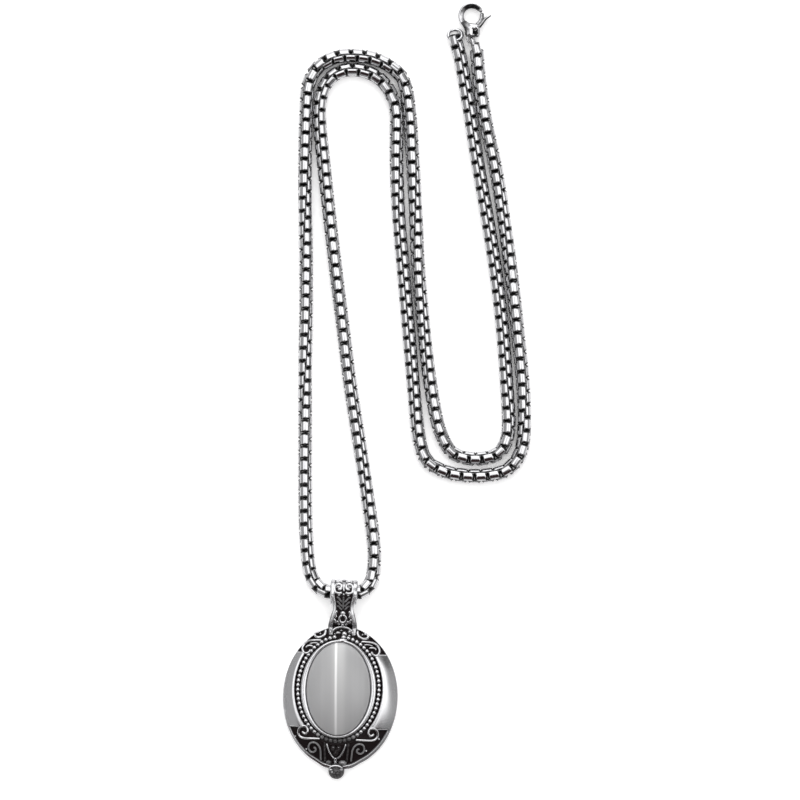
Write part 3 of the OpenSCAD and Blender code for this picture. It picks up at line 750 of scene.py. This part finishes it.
# Links are a little stouter wherever the next leg of the chain leaves room for it
apart = np.linalg.norm(centres[:, None] - centreline[None, :, :3], axis=2)
apart[np.abs(stops[:, None] - run) < SAME_LEG] = 99
stout = np.clip((apart.min(1) / 2 - LEG_GAP / 2) / LINK_HALF, 1.0, STOUTEST)
points, faces, oxide_and_shade = links_along(centres, tangents, twists, turned, stout)
chain = piece("box_chain", points * MM, faces, polished_steel, oxide_and_shade=oxide_and_shade)
chain.modifiers.new("weighted_normal", "WEIGHTED_NORMAL")
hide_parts("chain")


# Rings: round wire, closed, in the same polished steel.
for node in ("end_ring", "jump_ring"):
    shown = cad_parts[node]
    shown.data.materials.clear()
    shown.data.materials.append(polished_steel)


# Clasp body: the hook, a case of two cheeks on a back wall, and the tail eye, cast in one. The top
# cheek has a window over the spring, and a riveted pin holds the lever.
# The clasp's dark parts are painted shade: the hook's inner half, the window, the case's rim and left flank,
# and the back wall.
CLASP_AT = (15.05, 86.4, 1.3)
HOOK_R = 2.4
CHEEK_FROM, CHEEK_TO = 0.65, 1.3
PIVOT = (0.6, -2.75)
EYE_AT = (0.0, -5.3)
CASE = [(-2.5, -1.7), (-1.95, -2.4), (-1.5, -3.3), (-1.4, -4.3), (-1.0, -4.75), (0.2, -4.85), (1.4, -4.8),
        (1.85, -4.4), (1.9, -3.4), (1.8, -2.5), (1.3, -1.95), (0.3, -1.8), (-0.8, -1.6), (-1.5, -1.1)]
WINDOW = [(0.3, -3.3), (0.3, -3.8), (0.3, -4.2), (0.7, -4.3), (1.2, -4.3), (1.5, -4.1), (1.5, -3.7),
          (1.5, -3.3), (1.2, -3.15), (0.7, -3.15)]
level = lambda x, y: 0.0 * x


def closed_loop(points, count=64):
    """Closed smooth curve through the points, as count points at even spacing from the first."""
    line = curve([*points, *points[:3]], 0.02)[:, :2]
    cut = np.argmin(np.hypot(*(line[len(line) // 2:] - points[0]).T)) + len(line) // 2
    run = np.linspace(0, cut, count, endpoint=False)
    return np.stack([np.interp(run, np.arange(len(line)), line[:, k]) for k in (0, 1)], -1)


def by_bearing(loop, centre, count=64):
    """The loop's points at even bearings about a centre that it goes round."""
    off = loop - centre
    bearing = np.unwrap(np.arctan2(off[:, 1], off[:, 0]))
    if bearing[-1] < bearing[0]:
        off, bearing = off[::-1], bearing[::-1]
    r = np.hypot(*off.T)
    want = np.arange(count) * 2 * np.pi / count
    reach = np.interp(want, bearing - 2 * np.pi * np.round(bearing[0] / 2 / np.pi), r, period=2 * np.pi)
    return centre + np.stack([np.cos(want), np.sin(want)], -1) * reach[:, None]


def stacked(loops):
    """Rings at their heights, from (flat loop, height) pairs."""
    return np.array([np.concatenate([loop, np.full((len(loop), 1), z)], -1) for loop, z in loops])


def shrunk(loop, centre, inset):
    """The loop drawn in towards the centre by an inset."""
    off = loop - centre
    return centre + off * (1 - inset / np.hypot(*off.T))[:, None]


def washer(centre, outer_r, inner_r, low, high, count=40, bevel=0.12):
    """Flat ring with bevelled edges about a centre, between two heights."""
    a = np.arange(count) * 2 * np.pi / count
    rim = np.stack([np.cos(a), np.sin(a)], -1)
    at = [(inner_r, low + bevel), (inner_r + bevel, low), (outer_r - bevel, low), (outer_r, low + bevel),
          (outer_r, high - bevel), (outer_r - bevel, high), (inner_r + bevel, high), (inner_r, high - bevel)]
    rings = stacked([(np.array(centre) + rim * r, z) for r, z in at])
    return rings.reshape(-1, 3), sheet_faces(len(at), count, closed_rows=True)


bearing = np.radians(np.linspace(18.5, 236, 30))
hook_path = [(HOOK_R * np.cos(a), HOOK_R * np.sin(a), 0.95 + 0.4 * min(k / 8, 1))
             for k, a in enumerate(bearing)]
points, faces = strap(hook_path, 0, 1.7, surface=level, lean=0.22, sides=16, taper=0.35)
inside_half = np.cos((np.arange(16) + 0.5) * np.pi / 8) < 0.3
# Painted shade on the hook's inner half, less of it near the case than towards the tip
along_hook = np.linspace(0, 1, (len(points) - 2) // 16)
hook_shade = ramp(along_hook, 0.02, 0.1) * (0.76 - 0.5 * ramp(along_hook, 0.45, 0.35))
hook_shade = hook_shade[:, None] * (inside_half + 0.1)
parts = [(points, faces, np.concatenate([hook_shade.ravel(), [0, 0]]))]
middle = np.array([0.85, -3.75])
case = by_bearing(closed_loop(CASE), middle)
window = by_bearing(closed_loop(WINDOW), middle)
cheek = stacked([(window, CHEEK_FROM), (window, CHEEK_TO - 0.08), (shrunk(window, middle, -0.08), CHEEK_TO),
                 (shrunk(case, middle, 0.5), CHEEK_TO), (shrunk(case, middle, 0.22), CHEEK_TO - 0.12),
                 (case, CHEEK_TO - 0.4), (case, CHEEK_FROM)])
faces = sheet_faces(len(cheek), 64, closed_rows=True)
# Painted shade in the window and towards the case's outer edge, and on its left flank, which faces away from
# the light
cheek_shade = np.repeat([1, 1, 0.2, 0.1, 0.35, 0.6, 0.9], 64)
left = 0.72 * ramp(-cheek[..., 0].ravel(), 0.6, 0.5)
parts.append((cheek.reshape(-1, 3), faces[:, ::-1], np.maximum(cheek_shade, left)))
lower = stacked([(case, -CHEEK_FROM), (case, 0.3 - CHEEK_TO), (shrunk(case, middle, 0.2), -CHEEK_TO)])
parts.append((*capped(lower, flip=True), np.concatenate([np.repeat([1, 0.2, 0.2], 64), [1, 0.2]])))
back = closed_loop([(-2.4, -1.7), (-1.45, -3.3), (-1.3, -4.3), (-0.9, -4.7), (-0.45, -4.7), (-0.4, -4.0),
                    (-0.4, -3.0), (-0.3, -1.8), (-0.8, -1.6), (-1.5, -1.1)])
parts.append((*capped(stacked([(back, -0.7), (back, 0.7)])), 0.5))
parts.append((*washer(EYE_AT, 1.15, 0.8, -0.4, 0.4), 0.1))
for end, proud in ((1, 0.05), (-1, -0.03)):
    pin = stacked([(np.array(PIVOT) + r * circle[::20], end * z)
                   for r, z in ((0.35, 0.0), (0.35, CHEEK_TO - 0.05), (0.28, CHEEK_TO + proud),
                                (0.1, CHEEK_TO + proud + 0.02))])
    parts.append((*capped(pin, flip=end < 0), 0.0))
points, faces, oxide_and_shade = joined(parts)
in_clasp = lambda points: MM * (np.asarray(points) + CLASP_AT)
clasp = piece("lobster_clasp_body", in_clasp(points), faces, polished_steel, oxide_and_shade=oxide_and_shade)
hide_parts("clasp_body")


# Clasp lever: the gate that closes the hook, its hub on the pin, and the thumb tab, cast in one.
bearing = np.radians(np.linspace(-62, 17, 12))
gate_path = [(HOOK_R * np.cos(a), HOOK_R * np.sin(a), 1.0) for a in bearing]
tab_path = [(1.2, -2.75, 1.0), (1.75, -2.35, 1.0), (2.3, -1.75, 0.9), (2.85, -1.05, 0.8), (3.4, -0.5, 0.7),
            (4.0, -0.1, 0.6), (4.5, 0.2, 0.5)]
outer_half = np.cos((np.arange(16) + 0.5) * np.pi / 8) > 0.1
parts = []
# Painted shade on the gate and the thumb tab, darker on their outer halves
for path, lean, taper, inner_shade, outer_shade in (
        (gate_path, 0.1, 0.35, 0.38, 0.62), (tab_path, 0.3, 0.3, 0.1, 0.75)):
    points, faces = strap(path, 0, 1.1, surface=level, sides=16, taper=taper, lean=lean)
    black_and_shade = np.where(outer_half, outer_shade, inner_shade)
    parts.append((points, faces, np.concatenate([np.tile(black_and_shade, (len(points) - 2) // 16), [0.3, 0.3]])))
parts.append((*strap([(0.95, -2.5), (1.3, -2.2), (1.5, -1.9)], 1.0, 1.06, surface=level), 0.3))
parts.append((*washer(PIVOT, 0.75, 0.41, -0.55, 0.55), 0.1))
points, faces, oxide_and_shade = joined(parts)
lever = piece("lobster_clasp_lever", in_clasp(points), faces, polished_steel,
              body="lever", oxide_and_shade=oxide_and_shade)
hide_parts("clasp_lever")
